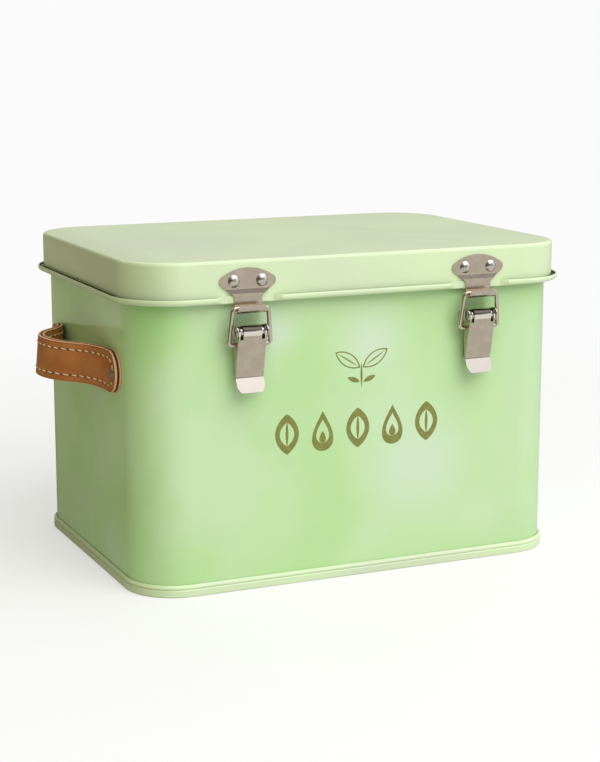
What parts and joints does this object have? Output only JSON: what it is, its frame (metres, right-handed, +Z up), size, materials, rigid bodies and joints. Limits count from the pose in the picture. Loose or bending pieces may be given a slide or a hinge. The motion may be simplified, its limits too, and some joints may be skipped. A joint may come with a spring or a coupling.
{
  "type": "garden seed organizer box",
  "caption": "Round-cornered tinplate seed box with a hinged lid, toggle latches, leather strap handles and lift-out divider cards in two rows.",
  "frame": {"origin": "middle of the box on the plane that its base seam stands on", "axes": "+Z up, front with the latches at -Y, hinges at +Y, a strap handle on each of -X and +X"},
  "size_m": [0.3008, 0.1969, 0.174],
  "materials": {
    "body_paint": "gloss enamel, soft mottled green",
    "base_paint": "gloss enamel, pale sage green",
    "lid_paint": "gloss enamel, pale sage green",
    "tinplate": "satin, pale sage green",
    "latch_steel": "satin, warm grey",
    "rivet_steel": "bright, burnished by setting",
    "leather": "smooth tan, edges left raw",
    "thread": "waxed straw-coloured thread",
    "ink": "flat olive print",
    "card": "uncoated buff board"
  },
  "bodies": {
    "box": {"body_shell": "body_paint", "base_pan": "base_paint", "partition": "tinplate", "left_latch_base": "latch_steel", "left_latch_base_rivets": "rivet_steel", "left_lever_pin": "rivet_steel", "left_hinge_body_leaf": "latch_steel", "left_hinge_pin": "rivet_steel", "left_hinge_body_rivets": "rivet_steel", "left_handle_outer": "leather", "left_handle_lining": "leather", "left_handle_rivets": "rivet_steel", "right_latch_base": "latch_steel", "right_latch_base_rivets": "rivet_steel", "right_lever_pin": "rivet_steel", "right_hinge_body_leaf": "latch_steel", "right_hinge_pin": "rivet_steel", "right_hinge_body_rivets": "rivet_steel", "right_handle_outer": "leather", "right_handle_lining": "leather", "right_handle_rivets": "rivet_steel"},
    "lid": {"lid": "lid_paint", "left_keeper": "latch_steel", "left_keeper_rivets": "rivet_steel", "left_hinge_lid_leaf": "latch_steel", "left_hinge_lid_rivets": "rivet_steel", "right_keeper": "latch_steel", "right_keeper_rivets": "rivet_steel", "right_hinge_lid_leaf": "latch_steel", "right_hinge_lid_rivets": "rivet_steel"},
    "left_lever": {"left_lever": "latch_steel"},
    "left_bail": {"left_bail": "latch_steel"},
    "right_lever": {"right_lever": "latch_steel"},
    "right_bail": {"right_bail": "latch_steel"},
    "card_01": {"divider_card_01": "card"},
    "card_02": {"divider_card_02": "card"},
    "card_03": {"divider_card_03": "card"},
    "card_04": {"divider_card_04": "card"},
    "card_05": {"divider_card_05": "card"},
    "card_06": {"divider_card_06": "card"},
    "card_07": {"divider_card_07": "card"},
    "card_08": {"divider_card_08": "card"},
    "card_09": {"divider_card_09": "card"},
    "card_10": {"divider_card_10": "card"},
    "card_11": {"divider_card_11": "card"},
    "card_12": {"divider_card_12": "card"}
  },
  "joints": [
    {"name": "lid_hinge", "type": "hinge", "parent": "box", "child": "lid", "pos_m": [0, 0.0924, 0.1492], "axis": [-1, 0, 0], "range_deg": [0, 150]},
    {"name": "left_lever_pivot", "type": "hinge", "parent": "box", "child": "left_lever", "pos_m": [-0.0665, -0.0974, 0.1382], "axis": [-1, 0, 0], "range_deg": [0, 105]},
    {"name": "left_bail_pivot", "type": "hinge", "parent": "left_lever", "child": "left_bail", "pos_m": [-0.0665, -0.0954, 0.1312], "axis": [-1, 0, 0], "range_deg": [-78, 0]},
    {"name": "right_lever_pivot", "type": "hinge", "parent": "box", "child": "right_lever", "pos_m": [0.0665, -0.0974, 0.1382], "axis": [-1, 0, 0], "range_deg": [0, 105]},
    {"name": "right_bail_pivot", "type": "hinge", "parent": "right_lever", "child": "right_bail", "pos_m": [0.0665, -0.0954, 0.1312], "axis": [-1, 0, 0], "range_deg": [-78, 0]},
    {"name": "card_01_lift", "type": "slide", "parent": "box", "child": "card_01", "axis": [0, 0, 1], "range_m": [0, 0.045]},
    {"name": "card_02_lift", "type": "slide", "parent": "box", "child": "card_02", "axis": [0, 0, 1], "range_m": [0, 0.045]},
    {"name": "card_03_lift", "type": "slide", "parent": "box", "child": "card_03", "axis": [0, 0, 1], "range_m": [0, 0.045]},
    {"name": "card_04_lift", "type": "slide", "parent": "box", "child": "card_04", "axis": [0, 0, 1], "range_m": [0, 0.045]},
    {"name": "card_05_lift", "type": "slide", "parent": "box", "child": "card_05", "axis": [0, 0, 1], "range_m": [0, 0.045]},
    {"name": "card_06_lift", "type": "slide", "parent": "box", "child": "card_06", "axis": [0, 0, 1], "range_m": [0, 0.045]},
    {"name": "card_07_lift", "type": "slide", "parent": "box", "child": "card_07", "axis": [0, 0, 1], "range_m": [0, 0.045]},
    {"name": "card_08_lift", "type": "slide", "parent": "box", "child": "card_08", "axis": [0, 0, 1], "range_m": [0, 0.045]},
    {"name": "card_09_lift", "type": "slide", "parent": "box", "child": "card_09", "axis": [0, 0, 1], "range_m": [0, 0.045]},
    {"name": "card_10_lift", "type": "slide", "parent": "box", "child": "card_10", "axis": [0, 0, 1], "range_m": [0, 0.045]},
    {"name": "card_11_lift", "type": "slide", "parent": "box", "child": "card_11", "axis": [0, 0, 1], "range_m": [0, 0.045]},
    {"name": "card_12_lift", "type": "slide", "parent": "box", "child": "card_12", "axis": [0, 0, 1], "range_m": [0, 0.045]}
  ],
  "couplings": [
    {"joint": "left_bail_pivot", "follows": "left_lever_pivot", "ratio": -0.705},
    {"joint": "right_bail_pivot", "follows": "right_lever_pivot", "ratio": -0.705}
  ]
}
